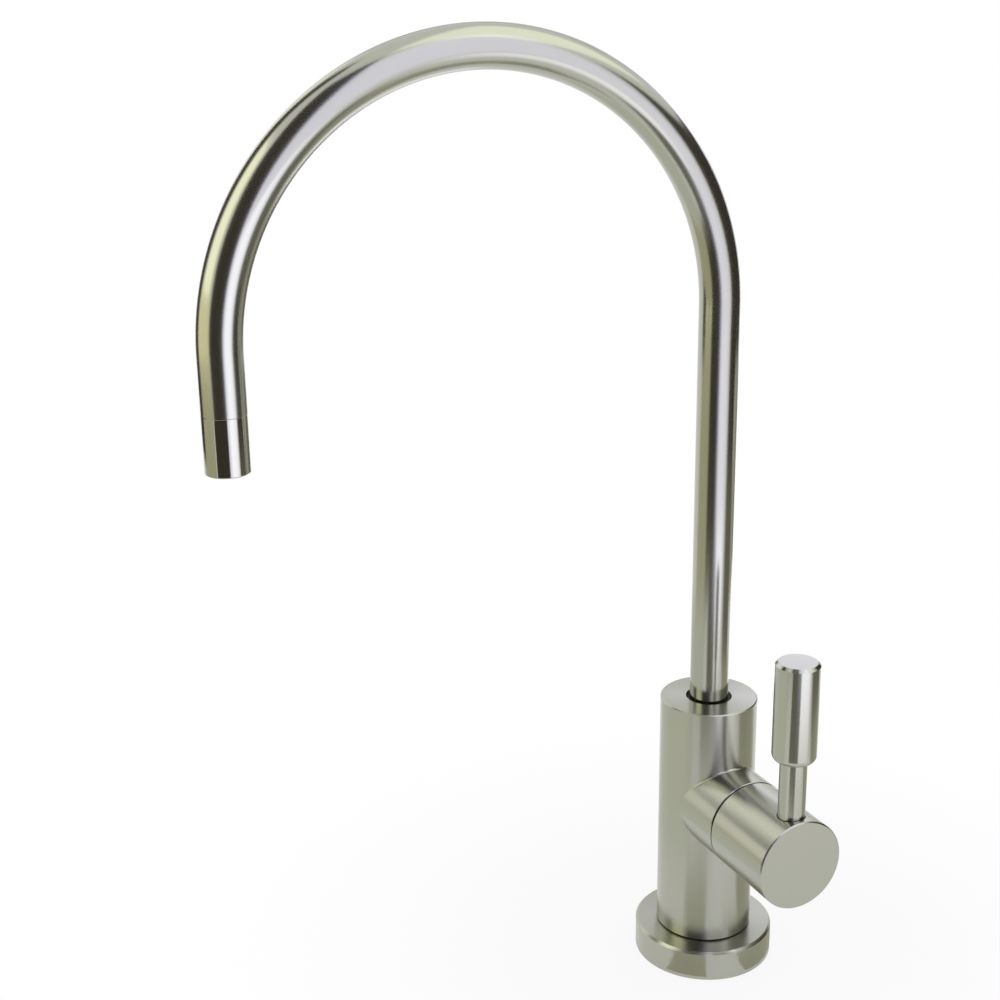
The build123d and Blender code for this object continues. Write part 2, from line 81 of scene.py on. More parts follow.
# %% Camera
camera_place = Vector((0.404985, -0.257525, 0.311739))
camera_right = Vector((0.41467, 0.90985, -0.014686)).normalized()
camera_back = Vector((0.87031, -0.391831, 0.298377)).normalized()
camera_up = camera_back.cross(camera_right).normalized()
camera_data = bpy.data.cameras.new("camera")
camera_data.sensor_width = 36.0
camera_data.lens = 56.007
camera = bpy.data.objects.new("camera", camera_data)
turn = Matrix((camera_right, camera_up, camera_back)).transposed()
camera.matrix_world = Matrix.Translation(camera_place) @ turn.to_4x4()
bpy.context.scene.collection.objects.link(camera)
bpy.context.scene.camera = camera
bpy.context.scene.view_settings.view_transform = "Standard"
print("camera", [round(x, 4) for x in camera_place], "lens", camera_data.lens)

# %% [markdown]
# ## Helpers for node trees
# A shader or a Geometry Nodes tree is a set of boxes with wires. One helper makes a box, sets its options and fills
# or wires its inputs, and the others are its commonest uses, so that each recipe below reads from top to bottom.
# Socket numbers are used where a node has several inputs of one name.

# %% One node of a tree
def add(tree, kind, inputs=None, **options):
    node = tree.nodes.new(kind)
    for name, value in options.items():
        setattr(node, name, value)
    for name, source in (inputs or {}).items():
        if isinstance(source, bpy.types.NodeSocket):
            tree.links.new(source, node.inputs[name])
        else:
            node.inputs[name].default_value = source
    return node


print("one helper makes every node")

# %% Sums, vectors and ranges
def maths(tree, operation, *sources):
    return add(tree, "ShaderNodeMath", dict(enumerate(sources)), operation=operation).outputs[0]


def vector_maths(tree, operation, first, second=None):
    inputs = {0: first}
    if second is not None:
        inputs["Scale" if operation == "SCALE" else 1] = second
    node = add(tree, "ShaderNodeVectorMath", inputs, operation=operation)
    return node.outputs["Value" if operation in ("LENGTH", "DOT_PRODUCT") else "Vector"]


def remap(tree, value, from_low=0.0, from_high=1.0, to_low=0.0, to_high=1.0, smooth=False):
    inputs = {"Value": value, "From Min": from_low, "From Max": from_high, "To Min": to_low, "To Max": to_high}
    easing = "SMOOTHSTEP" if smooth else "LINEAR"
    return add(tree, "ShaderNodeMapRange", inputs, interpolation_type=easing).outputs["Result"]


print("helpers: maths, vector_maths, remap")

# %% [markdown]
# ## Floor and surroundings
# Satin metal shows what stands around it, so a studio for metal is built from what the metal should reflect. The
# floor is plain and pale. More lamps could make it white, but they would burn out the metal too, so rays from the
# eye and from mirrors are told apart by Light Path and see white, and near the base part of the paint is left to
# hold the tap's soft shadow. Only the upper side is drawn, so that the clamp under the worktop can be looked at
# from below.

# %% Floor paint
def new_material(name):
    material = bpy.data.materials.new(name)
    material.use_nodes = True
    material.node_tree.nodes.clear()
    return material, material.node_tree


def eye_or_mirror(tree):
    ray = add(tree, "ShaderNodeLightPath").outputs
    seen = maths(tree, "MAXIMUM", ray["Is Camera Ray"], ray["Is Glossy Ray"])
    return ray["Is Camera Ray"], maths(tree, "MAXIMUM", seen, ray["Is Transmission Ray"])


white, floor_colour = (1, 1, 1, 1), (0.84, 0.84, 0.85, 1)
fade_starts, white_starts = 0.04, 0.20
least_in_mirrors, least_to_eye = 0.75, 0.88
floor_paint, tree = new_material("floor_paint")
eye, seen = eye_or_mirror(tree)
least_white = maths(tree, "MULTIPLY_ADD", eye, least_to_eye - least_in_mirrors, least_in_mirrors)
from_axis = vector_maths(tree, "LENGTH", add(tree, "ShaderNodeTexCoord").outputs["Object"])
white_share = remap(tree, from_axis, fade_starts, white_starts, least_white, smooth=True)
white_share = maths(tree, "MULTIPLY", seen, white_share)
paint = add(tree, "ShaderNodeBsdfDiffuse", {"Color": floor_colour}).outputs[0]
shine = add(tree, "ShaderNodeEmission", {"Color": white, "Strength": 1.0}).outputs[0]
clear = add(tree, "ShaderNodeBsdfTransparent").outputs[0]
top = add(tree, "ShaderNodeMixShader", {0: white_share, 1: paint, 2: shine}).outputs[0]
underside = add(tree, "ShaderNodeNewGeometry").outputs["Backfacing"]
both = add(tree, "ShaderNodeMixShader", {0: underside, 1: top, 2: clear}).outputs[0]
add(tree, "ShaderNodeOutputMaterial", {"Surface": both})
print("floor paint is white from", white_starts, "m off the axis")

# %% Floor
def panel(name, corners, faces, material):
    mesh = bpy.data.meshes.new(name)
    mesh.from_pydata([tuple(c) for c in corners], [], faces)
    mesh.materials.append(material)
    card = bpy.data.objects.new(name, mesh)
    bpy.context.scene.collection.objects.link(card)
    return card


floor_half = 3.0
floor_corners = [(x * floor_half, y * floor_half, 0) for x, y in ((-1, -1), (1, -1), (1, 1), (-1, 1))]
panel("floor", floor_corners, [(0, 1, 2, 3)], floor_paint)
print("floor", floor_half * 2, "m wide")

# %% [markdown]
# ## World
# The air round the tap is white to the eye and to mirrors. One strength for every ray would be simpler, but as a lamp
# that white lights the metal too much, so the world is a little darker where it serves as one.

# %% World
world_as_lamp, world_as_seen = 0.6, 1.0
world = bpy.data.worlds.new("studio")
world.use_nodes = True
world.node_tree.nodes.clear()
bpy.context.scene.world = world
tree = world.node_tree
strength = remap(tree, eye_or_mirror(tree)[1], to_low=world_as_lamp, to_high=world_as_seen)
air = add(tree, "ShaderNodeBackground", {"Color": white, "Strength": strength})
add(tree, "ShaderNodeOutputWorld", {"Surface": air.outputs[0]})
print("world as a lamp", world_as_lamp, "as a background", world_as_seen)

# %% [markdown]
# ## Softboxes
# The long white streaks on the tube are a wide softbox close on the handle's side, in a low and a high part. A pale
# warm one stands far out past the spout, one on the side away from the handle, one behind and one overhead. Small
# lamps could light the tap as well, but metal shows each lamp's own shape, and only a wide one draws a wide soft
# streak. A softbox can wear a grid of slats that narrows its beam, and that is a lamp's spread: the low one on the
# handle's side wears a grid, so that the underside of the bend doesn't see it, and so does a small one that lights
# the spout's drop alone. Each lamp's strength is given as the brightness of its face, and its power follows from its
# size.

# %% Places round the tap
def middle(node):
    low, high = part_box(node)
    return (low + high) / 2


def round_the_tap(heading, distance, height):
    angle = math.radians(heading)
    return Vector((math.sin(angle) * distance, -math.cos(angle) * distance, height))


print("spout's drop at y", round(middle("spout_tip").y, 4))

# %% Softbox helper
def softbox(name, centre, aim, width, height, radiance, colour, spread=180):
    lamp = bpy.data.lights.new(name, "AREA")
    lamp.shape = "RECTANGLE"
    lamp.size = width
    lamp.size_y = height
    lamp.color = colour
    half_spread = math.radians(spread) / 2
    lamp.spread = 2 * half_spread
    kept_by_grid = 1.0 - half_spread / math.tan(half_spread)
    lamp.energy = radiance * width * height * math.pi * kept_by_grid
    holder = bpy.data.objects.new(name, lamp)
    holder.visible_camera = False
    bpy.context.scene.collection.objects.link(holder)
    away = (Vector(centre) - Vector(aim)).normalized()
    holder.matrix_world = Matrix.Translation(centre) @ away.to_track_quat("Z", "Y").to_matrix().to_4x4()


print("softbox helper ready")

# %% Softboxes
right_ends = Vector((0.400, -0.138, 0)), Vector((0.195, 0.124, 0))
right_middle = (right_ends[0] + right_ends[1]) / 2
right_width = (right_ends[0] - right_ends[1]).length
for name, rise, height, radiance, colour, spread in (
        ("right_softbox", 0.085, 0.17, 1.18, (0.62, 0.60, 1.0), 100),
        ("right_high_softbox", 0.445, 0.55, 0.68, (0.58, 0.55, 1.0), 180)):
    centre = right_middle + Vector((0, 0, rise))
    softbox(name, centre, (0, -0.01, rise), right_width, height, radiance, colour, spread)
for name, place, aim_height, width, height, radiance, colour in (
        ("left_softbox", (-10, 1.0, 0.75), 0.75, 0.70, 1.00, 0.90, (1.0, 1.0, 0.55)),
        ("side_softbox", (-68, 0.9, 0.72), 0.10, 0.50, 0.60, 0.42, (1.0, 1.0, 0.80)),
        ("back_softbox", (-138, 0.8, 0.435), 0.435, 0.40, 0.17, 1.08, (0.70, 0.68, 1.0)),
        ("top_softbox", (150, 0.45, 1.0), 0.20, 0.80, 0.80, 0.65, (0.92, 1.0, 0.72))):
    softbox(name, round_the_tap(*place), (0, 0, aim_height), width, height, radiance, colour)
drop, beside = Vector((0, middle("spout_tip").y, 0.195)), Vector((0.0875, 0.0485, 0))
softbox("drop_softbox", drop + beside, drop, 0.083, 0.12, 1.15, (0.82, 0.82, 1.0), spread=90)

# %% [markdown]
# ## Cards
# A photographer puts dark and coloured cards beside metal to draw its edges. A picture of a room could stand round
# the tap instead, but a card can be moved until it draws the edge that is wanted. Here they stand round the tap or
# lie on the floor, and are seen in reflections only: they throw no shadow and take no light, but glow with a set
# colour of their own, so what the metal shows of them is painted reflection. One beside the spout is flat. The
# others are strips between two arcs round the tap's axis, given by two headings in degrees, where 0 is under the
# spout and 90 is the handle's side.

# %% Card paints
def glow(name, colour):
    material, tree = new_material(name)
    shine = add(tree, "ShaderNodeEmission", {"Color": (*colour, 1), "Strength": 1.0})
    add(tree, "ShaderNodeOutputMaterial", {"Surface": shine.outputs[0]})
    return material


# Painted shade and light for reflections: the shadow, half_shadow and soft_shadow paints glow dark to stand for shade
# on the floor as the metal sees it, and bright glows above white to stand for pools of light on the floor.
card_paint = {name: glow(name + "_card", colour) for name, colour in {
    "dark": (0.07, 0.06, 0.05), "shadow": (0.22, 0.21, 0.17), "half_shadow": (0.52, 0.52, 0.42),
    "soft_shadow": (0.59, 0.60, 0.51), "deep_olive": (0.62, 0.60, 0.42), "olive": (1.22, 1.17, 0.76),
    "pale_olive": (0.80, 0.82, 0.75), "grey": (0.76, 0.76, 0.78), "bright": (1.60, 1.58, 1.72)}.items()}
print("card paints:", sorted(card_paint))

# %% Card helpers
def reflection_only(card):
    for sight in ("camera", "diffuse", "shadow", "transmission", "volume_scatter"):
        setattr(card, "visible_" + sight, False)


def curved_card(name, start, end, first_edge, second_edge, material):
    steps = 8
    headings = [start + (end - start) * step / steps for step in range(steps + 1)]
    corners = [round_the_tap(heading, *edge) for edge in (first_edge, second_edge) for heading in headings]
    faces = [(i, i + 1, i + steps + 2, i + steps + 1) for i in range(steps)]
    reflection_only(panel(name, corners, faces, material))


print("card helpers ready")

# %% Standing cards
for name, start, end, distance, low, high, paint in (
        ("front_dark_card", 16, 69, 0.44, 0.0, 1.2, "dark"),
        ("front_olive_card", -36, 16, 0.80, 0.08, 0.30, "olive"),
        ("front_low_card", -36, 16, 0.80, 0.0, 0.08, "deep_olive"),
        ("back_dark_card", 127, 172, 0.60, 0.0, 0.50, "dark"),
        ("rear_dark_card", 172, 205, 0.60, 0.08, 0.50, "dark"),
        ("back_high_card", -150, -85, 0.85, 0.50, 0.95, "grey")):
    curved_card(name, start, end, (distance, low), (distance, high), card_paint[paint])
near, far, low, high = (-0.190, -0.200), (-0.115, -0.280), 0.15, 0.90
edge_corners = [(*near, low), (*far, low), (*far, high), (*near, high)]
reflection_only(panel("spout_edge_card", edge_corners, [(0, 1, 2, 3)], card_paint["dark"]))

# %% Cards on the floor
card_height = 0.001
# Painted shadow in reflections: the base_front, base_side, body_front and near_back strips lie right at the foot of
# the base and put the floor's shade round the tap into the metal. The right_floor and hub_light strips are painted
# pools of light on the floor, seen only in the metal.
for name, start, end, near, far, paint in (
        ("left_floor_card", -45, 16, 0.34, 0.80, "deep_olive"),
        ("near_left_card", -85, 22, 0.08, 0.34, "pale_olive"),
        ("front_floor_card", 40, 77, 0.18, 0.34, "shadow"),
        ("front_far_card", 16, 75, 0.34, 0.44, "shadow"),
        ("right_floor_card", 78, 114, 0.25, 0.46, "bright"),
        ("back_floor_card", 128, 176, 0.26, 0.60, "shadow"),
        ("base_front_card", 26, 62, 0.0235, 0.040, "half_shadow"),
        ("base_side_card", 98, 190, 0.0235, 0.040, "half_shadow"),
        ("body_front_card", 18, 64, 0.040, 0.076, "soft_shadow"),
        ("near_back_card", 134, 190, 0.040, 0.26, "half_shadow"),
        ("rear_floor_card", 176, 206, 0.34, 0.95, "half_shadow"),
        ("far_back_card", 206, 240, 0.40, 0.95, "shadow"),
        ("hub_light_card", -155, -112, 0.22, 0.37, "bright")):
    curved_card(name, start, end, (near, card_height), (far, card_height), card_paint[paint])

# %% [markdown]
# ## Satin nickel
# The tap is brass and steel tube, plated with nickel and brushed. A lathe-brushed surface has fine grooves that run
# round it, so a reflection is drawn out along the axis: that is anisotropy, and the shader takes its direction from
# the Tangent input. It could be painted as streaks, but then it would not move with the light. Here the tangent is
# worked out from the piece's own axis, for round sides and flat ends alike, and fine noise rings give the grooves.

# %% A turned surface: its axis, its radius and its tangent
def choose(tree, switch, first, second, kind="VECTOR"):
    first_socket, second_socket, result = {"FLOAT": (2, 3, 0), "VECTOR": (4, 5, 1)}[kind]
    inputs = {0: switch, first_socket: first, second_socket: second}
    return add(tree, "ShaderNodeMix", inputs, data_type=kind).outputs[result]


def turned_surface(tree, centre, axis, end_lay=None):
    flat_from = 0.8
    coordinates = add(tree, "ShaderNodeTexCoord").outputs
    to_centre = {"Vector": coordinates["Object"], "Location": tuple(-c for c in centre)}
    centred = add(tree, "ShaderNodeMapping", to_centre).outputs["Vector"]
    outward = vector_maths(tree, "MULTIPLY", centred, tuple(1.0 - abs(a) for a in axis))
    radius = vector_maths(tree, "LENGTH", outward)
    along = vector_maths(tree, "DOT_PRODUCT", centred, axis)
    tangent = vector_maths(tree, "ADD", vector_maths(tree, "NORMALIZE", outward), axis)
    if end_lay is not None:
        facing = maths(tree, "ABSOLUTE", vector_maths(tree, "DOT_PRODUCT", coordinates["Normal"], axis))
        flat_end = maths(tree, "GREATER_THAN", facing, flat_from)
        tangent = choose(tree, flat_end, tangent, end_lay)
    return {"place": centred, "radius": radius, "along": along, "tangent": tangent}


def groove_place(tree, surface, axis, look):
    line = maths(tree, "MULTIPLY", maths(tree, "ADD", surface["along"], surface["radius"]), look["grooves"])
    drift = vector_maths(tree, "SCALE", surface["place"], look["drift"])
    return vector_maths(tree, "ADD", drift, vector_maths(tree, "SCALE", axis, line))


print("turned surfaces ready")

# %% Noise and two colours
def noise(tree, place, scale, detail, roughness=0.5):
    inputs = {"Vector": place, "Scale": scale, "Detail": detail, "Roughness": roughness}
    return add(tree, "ShaderNodeTexNoise", inputs).outputs["Fac"]


def two_colours(tree, factor, low, high):
    ramp = add(tree, "ShaderNodeValToRGB", {"Fac": factor})
    for element, (place, colour) in zip(ramp.color_ramp.elements, (low, high)):
        element.position = place
        element.color = (*colour, 1)
    return ramp.outputs["Color"]


noise_low, noise_high = 0.3, 0.7
print("noise mostly lies between", noise_low, "and", noise_high)

# %% A metal finish from grooves and clouds
def finish_metal(tree, grooves, cloud_place, tangent, look):
    cloud_share = 0.45
    groove = noise(tree, grooves, scale=1.0, detail=3.0, roughness=0.6)
    cloud = noise(tree, cloud_place, look["cloud"], detail=2.0)
    mixed = choose(tree, cloud_share, groove, cloud, "FLOAT")
    colour = two_colours(tree, mixed, (noise_low, look["shade"]), (noise_high, look["colour"]))
    smoothest, roughest = look["roughness"] - look["spread"], look["roughness"] + look["spread"]
    bump = add(tree, "ShaderNodeBump", {"Height": groove, "Strength": look["bump"], "Distance": look["depth"]})
    world_tangent = add(tree, "ShaderNodeVectorTransform", {"Vector": tangent},
                        vector_type="VECTOR", convert_from="OBJECT", convert_to="WORLD")
    surface = add(tree, "ShaderNodeBsdfPrincipled", {
        "Base Color": colour, "Metallic": 1.0, "Anisotropic": look["anisotropy"],
        "Roughness": remap(tree, mixed, noise_low, noise_high, smoothest, roughest),
        "Normal": bump.outputs["Normal"], "Tangent": world_tangent.outputs["Vector"]})
    add(tree, "ShaderNodeOutputMaterial", {"Surface": surface.outputs[0]})


def turned_metal(name, centre, axis, look, end_lay=None):
    material, tree = new_material(name)
    surface = turned_surface(tree, centre, axis, end_lay)
    finish_metal(tree, groove_place(tree, surface, axis, look), surface["place"], surface["tangent"], look)
    return material


print("metal finish ready")

# %% Base, handle, lever and tip in satin nickel
def give(node, material):
    for holder in nodes[node].material_slots:
        holder.material = material
    print(node, "wears", material.name)


satin_look = {"colour": (0.447, 0.450, 0.386), "shade": (0.433, 0.436, 0.372), "roughness": 0.26, "spread": 0.012,
              "anisotropy": 0.7, "cloud": 60.0, "drift": 30.0, "grooves": 11000.0, "bump": 0.02, "depth": 0.00001}
lever_look, tip_look = {**satin_look, "roughness": 0.17}, {**satin_look, "roughness": 0.12}
upright, sideways, face_lay = (0.0, 0.0, 1.0), (1.0, 0.0, 0.0), (0.0, 1.0, 0.0)
axis_foot, hub_middle = (0, 0, 0), (0, 0, middle("handle_hub").z)
lever_middle, tip_middle = (middle("lever").x, 0, 0), (0, middle("spout_tip").y, 0)
give("base_flange", turned_metal("satin_nickel_base", axis_foot, upright, satin_look))
give("handle_hub", turned_metal("satin_nickel_hub", hub_middle, sideways, satin_look, face_lay))
give("lever", turned_metal("satin_nickel_lever", lever_middle, upright, lever_look, face_lay))
give("spout_tip", turned_metal("satin_nickel_tip", tip_middle, upright, tip_look))

# %% [markdown]
# ## The body has two axes
# The body is turned about the upright axis, and its side boss about the handle's. One finish for the whole piece
# would lay the boss's grooves wrong. The two could be split into two material slots, but the CAD mesh stays as it
# is, so the shader makes both lays and takes the boss's wherever the surface is farther out than the body's radius.

# %% Body
def two_axis_nickel(name, boss_from, look):
    material, tree = new_material(name)
    body = turned_surface(tree, axis_foot, upright)
    boss = turned_surface(tree, hub_middle, sideways)
    on_boss = maths(tree, "GREATER_THAN", body["radius"], boss_from)
    body_grooves, boss_grooves = groove_place(tree, body, upright, look), groove_place(tree, boss, sideways, look)
    grooves = choose(tree, on_boss, body_grooves, boss_grooves)
    finish_metal(tree, grooves, body["place"], choose(tree, on_boss, body["tangent"], boss["tangent"]), look)
    return material


body_radius, margin = -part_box("tap_body")[0].x, 0.00005
give("tap_body", two_axis_nickel("satin_nickel_body", body_radius + margin, {**satin_look, "grooves": 6000.0}))
print("body radius", round(body_radius, 5))

# %% [markdown]
# ## Brass, zinc and spring steel
# The hidden metal pieces keep their CAD shape and get the finish that each really has. Turned brass shows faint
# rings and a little tarnish, zinc plate is cloudy, and spring steel is dull and dark. Each could be one flat colour,
# since little of it shows, but the clamp under the worktop is seen from below, so each is the nickel's recipe with
# other numbers.

# %% Turned and plated metals
brass_look = {"colour": (0.62, 0.45, 0.19), "shade": (0.46, 0.31, 0.12), "roughness": 0.26, "spread": 0.07,
              "anisotropy": 0.5, "cloud": 120.0, "drift": 40.0, "grooves": 5000.0, "bump": 0.15, "depth": 0.00002}
zinc_look = {**brass_look, "colour": (0.60, 0.62, 0.64), "shade": (0.42, 0.44, 0.46), "roughness": 0.34,
             "spread": 0.08, "anisotropy": 0.2, "cloud": 260.0, "bump": 0.08}
spring_look = {**brass_look, "colour": (0.36, 0.36, 0.37), "shade": (0.24, 0.24, 0.26), "roughness": 0.30,
               "spread": 0.06, "anisotropy": 0.4, "cloud": 300.0, "bump": 0.10}
upright_brass = turned_metal("turned_brass", axis_foot, upright, brass_look)
for metal, wearers in (
        (upright_brass, ("spout_foot", "threaded_shank", "mounting_nut")),
        (turned_metal("turned_brass_cartridge", hub_middle, sideways, brass_look),
         ("cartridge_housing", "cartridge_spindle")),
        (turned_metal("zinc_plate", axis_foot, upright, zinc_look), ("clamp_washer", "lock_washer")),
        (turned_metal("spring_steel", hub_middle, sideways, spring_look), ("spindle_clip", "hub_grub_screw"))):
    for node in wearers:
        give(node, metal)

# %% [markdown]
# ## Rubber, plastics and ceramic
# Rubber is matt with a fine mould grain, and nylon, acetal and ceramic are smooth with a slight unevenness. One flat
# colour for each would pass from afar, but looks false near by. So a coarse and a fine noise on the piece's own
# coordinates are mixed, and the mix drives colour and roughness together, while the fine one alone makes the grain.

# %% Rubber, plastics and ceramic
def moulded(name, colour, shade, roughness, grain, depth):
    blotch_scale, fine_share, unevenness, grain_strength = 140.0, 0.5, 0.05, 0.3
    dark_below, light_above = 0.35, 0.65
    material, tree = new_material(name)
    place = add(tree, "ShaderNodeTexCoord").outputs["Object"]
    fine = noise(tree, place, grain, detail=2.0)
    mixed = choose(tree, fine_share, noise(tree, place, blotch_scale, detail=3.0), fine, "FLOAT")
    bump = add(tree, "ShaderNodeBump", {"Height": fine, "Strength": grain_strength, "Distance": depth})
    surface = add(tree, "ShaderNodeBsdfPrincipled", {
        "Base Color": two_colours(tree, mixed, (dark_below, shade), (light_above, colour)),
        "Roughness": remap(tree, mixed, noise_low, noise_high, roughness - unevenness, roughness + unevenness),
        "Normal": bump.outputs["Normal"]})
    add(tree, "ShaderNodeOutputMaterial", {"Surface": surface.outputs[0]})
    return material


moulded_looks = {
    "black_rubber": ((0.028, 0.028, 0.029), (0.016, 0.016, 0.017), 0.62, 2500.0, 0.00006),
    "white_nylon": ((0.78, 0.76, 0.70), (0.70, 0.68, 0.62), 0.45, 1800.0, 0.00003),
    "black_nylon": ((0.030, 0.030, 0.031), (0.020, 0.020, 0.021), 0.42, 1800.0, 0.00003),
    "white_acetal": ((0.80, 0.80, 0.77), (0.74, 0.74, 0.71), 0.30, 1500.0, 0.00002),
    "grey_acetal": ((0.12, 0.13, 0.145), (0.10, 0.105, 0.12), 0.30, 1500.0, 0.00002),
    "alumina": ((0.80, 0.78, 0.73), (0.74, 0.72, 0.67), 0.16, 3500.0, 0.00001)}
finishes = {name: moulded(name, *look) for name, look in moulded_looks.items()}
for part in frame["record"]["subparts"]:
    if part["material_slot"] in finishes:
        give(part["node"], finishes[part["material_slot"]])

# %% [markdown]
# ## Geometry Nodes recipes
# Two pieces follow a rule, the bent tube and the thread. Mesh code could make them too, but a Geometry Nodes tree
# keeps the rule apart from the sizes, which are its named inputs. Each tree ends by making instances real and
# setting the material, and its result is turned into a plain mesh, because the finished piece has to stand without
# its recipe.

# %% Start and end of a Geometry Nodes recipe
def geometry_recipe(name, sizes, counts):
    tree = bpy.data.node_groups.new(name, "GeometryNodeTree")
    kinds = {"Geometry": "Geometry", **dict.fromkeys(sizes, "Float"), **dict.fromkeys(counts, "Int"),
             "Finish": "Material"}
    for label, kind in kinds.items():
        tree.interface.new_socket(label, in_out="INPUT", socket_type="NodeSocket" + kind)
    tree.interface.new_socket("Geometry", in_out="OUTPUT", socket_type="NodeSocketGeometry")
    return tree, add(tree, "NodeGroupInput").outputs


def end_recipe(tree, geometry, given):
    real = add(tree, "GeometryNodeRealizeInstances", {"Geometry": geometry}).outputs["Geometry"]
    dressed = add(tree, "GeometryNodeSetMaterial", {"Geometry": real, "Material": given["Finish"]})
    add(tree, "NodeGroupOutput", {"Geometry": dressed.outputs["Geometry"]})
    print(tree.name, "recipe has", len(tree.nodes), "nodes")


print("a recipe starts with named inputs")

# %% Attributes that stay on the mesh
def keep_attribute(tree, geometry, name, value, kind="FLOAT_VECTOR"):
    inputs = {"Geometry": geometry, "Name": name, "Value": value}
    return add(tree, "GeometryNodeStoreNamedAttribute", inputs, data_type=kind, domain="POINT").outputs["Geometry"]


def kept_attribute(tree, name, kind="FLOAT_VECTOR"):
    return add(tree, "GeometryNodeInputNamedAttribute", {"Name": name}, data_type=kind).outputs["Attribute"]


print("attribute helpers ready")

# %% From a recipe to a plain mesh
crease_angle = math.radians(28)


def plain_piece(name, tree, values, wall=None):
    piece = bpy.data.objects.new(name, bpy.data.meshes.new(name))
    bpy.context.scene.collection.objects.link(piece)
    shape = piece.modifiers.new("shape", "NODES")
    shape.node_group = tree
    for item in tree.interface.items_tree:
        if item.in_out == "INPUT" and item.name in values:
            shape[item.identifier] = values[item.name]
    if wall is not None:
        thickness = piece.modifiers.new("wall", "SOLIDIFY")
        thickness.thickness = wall
        thickness.offset = -1.0
    depsgraph = bpy.context.evaluated_depsgraph_get()
    mesh = bpy.data.meshes.new_from_object(piece.evaluated_get(depsgraph))
    mesh.name = name
    piece.modifiers.clear()
    piece.data = mesh
    mesh.materials.clear()
    mesh.materials.append(values["Finish"])
    mesh.shade_smooth()
    mesh.set_sharp_from_angle(angle=crease_angle)
    print(name, "has", len(mesh.polygons), "faces, material", mesh.materials[0].name)
    return piece


print("faces meet sharply from", round(math.degrees(crease_angle)), "degrees")

# %% [markdown]
# ## The swan neck
# The spout is a straight riser, a half circle and a short straight drop of one tube. A curve with a bevel would make
# the same tube. Here a straight curve is bent by a rule into the path instead, and a circle is swept along it,
# because a tree can keep the distance travelled, the place round the tube and the path's direction as attributes,
# and the polishing lines can then run with the tube. Solidify gives the tube its wall, and the last step of the path
# is a small chamfer, which draws the seam to the tip.

# %% Swan neck: distance travelled along the path
neck_sizes = ("Radius", "Bend radius", "Riser start", "Bend start", "Drop end", "Seam chamfer")
tree, given = geometry_recipe("swan_neck", neck_sizes, ("Steps", "Facets"))
riser = maths(tree, "SUBTRACT", given["Bend start"], given["Riser start"])
arc = maths(tree, "MULTIPLY", given["Bend radius"], math.pi)
fall = maths(tree, "SUBTRACT", given["Bend start"], given["Drop end"])
whole = maths(tree, "ADD", maths(tree, "ADD", riser, arc), fall)
straight = add(tree, "GeometryNodeCurvePrimitiveLine", {"End": (0, 0, 1)}).outputs["Curve"]
dotted = add(tree, "GeometryNodeResampleCurve", {"Curve": straight, "Count": given["Steps"]}).outputs["Curve"]
share = add(tree, "GeometryNodeSplineParameter").outputs["Factor"]
last = add(tree, "GeometryNodeCurveEndpointSelection", {"Start Size": 0, "End Size": 1}).outputs["Selection"]
last_but_one = maths(tree, "SUBTRACT", given["Steps"], 2.0)
stretch = maths(tree, "DIVIDE", maths(tree, "SUBTRACT", given["Steps"], 1.0), last_but_one)
before_seam = maths(tree, "SUBTRACT", whole, given["Seam chamfer"])
travel = maths(tree, "MULTIPLY", maths(tree, "MULTIPLY", share, stretch), before_seam)
travel = maths(tree, "MINIMUM", travel, before_seam)
travel = maths(tree, "ADD", travel, maths(tree, "MULTIPLY", last, given["Seam chamfer"]))
print("travel takes", len(tree.nodes), "nodes")

# %% Swan neck: riser, half circle, drop
past_riser = maths(tree, "MAXIMUM", maths(tree, "SUBTRACT", travel, riser), 0.0)
bend_angle = maths(tree, "DIVIDE", maths(tree, "MINIMUM", past_riser, arc), given["Bend radius"])
past_bend = maths(tree, "MAXIMUM", maths(tree, "SUBTRACT", past_riser, arc), 0.0)
cosine, sine = maths(tree, "COSINE", bend_angle), maths(tree, "SINE", bend_angle)
forward = maths(tree, "MULTIPLY", given["Bend radius"], maths(tree, "SUBTRACT", cosine, 1.0))
height = maths(tree, "ADD", given["Riser start"], maths(tree, "MINIMUM", travel, riser))
height = maths(tree, "ADD", height, maths(tree, "MULTIPLY", given["Bend radius"], sine))
height = maths(tree, "SUBTRACT", height, past_bend)
path_place = add(tree, "ShaderNodeCombineXYZ", {"Y": forward, "Z": height}).outputs["Vector"]
backward = maths(tree, "MULTIPLY", sine, -1.0)
heading = add(tree, "ShaderNodeCombineXYZ", {"Y": backward, "Z": cosine}).outputs["Vector"]
marked = keep_attribute(tree, dotted, "travel", travel, "FLOAT")
marked = keep_attribute(tree, marked, "heading", heading)
bent = add(tree, "GeometryNodeSetPosition", {"Geometry": marked, "Position": path_place}).outputs["Geometry"]
print("travel and path take", len(tree.nodes), "nodes")

# %% Swan neck: sweep
narrower = maths(tree, "DIVIDE", maths(tree, "SUBTRACT", given["Radius"], given["Seam chamfer"]), given["Radius"])
girth = maths(tree, "ADD", 1.0, maths(tree, "MULTIPLY", last, maths(tree, "SUBTRACT", narrower, 1.0)))
bent = add(tree, "GeometryNodeSetCurveRadius", {"Curve": bent, "Radius": girth}).outputs["Curve"]
ring_inputs = {"Resolution": given["Facets"], "Radius": given["Radius"]}
ring = add(tree, "GeometryNodeCurvePrimitiveCircle", ring_inputs).outputs["Curve"]
ring = keep_attribute(tree, ring, "ring", add(tree, "GeometryNodeInputPosition").outputs["Position"])
swept = add(tree, "GeometryNodeCurveToMesh", {"Curve": bent, "Profile Curve": ring}).outputs["Mesh"]
lengthwise = add(tree, "ShaderNodeCombineXYZ", {"Z": kept_attribute(tree, "travel", "FLOAT")}).outputs["Vector"]
lay = vector_maths(tree, "ADD", kept_attribute(tree, "ring"), lengthwise)
neck_recipe = tree
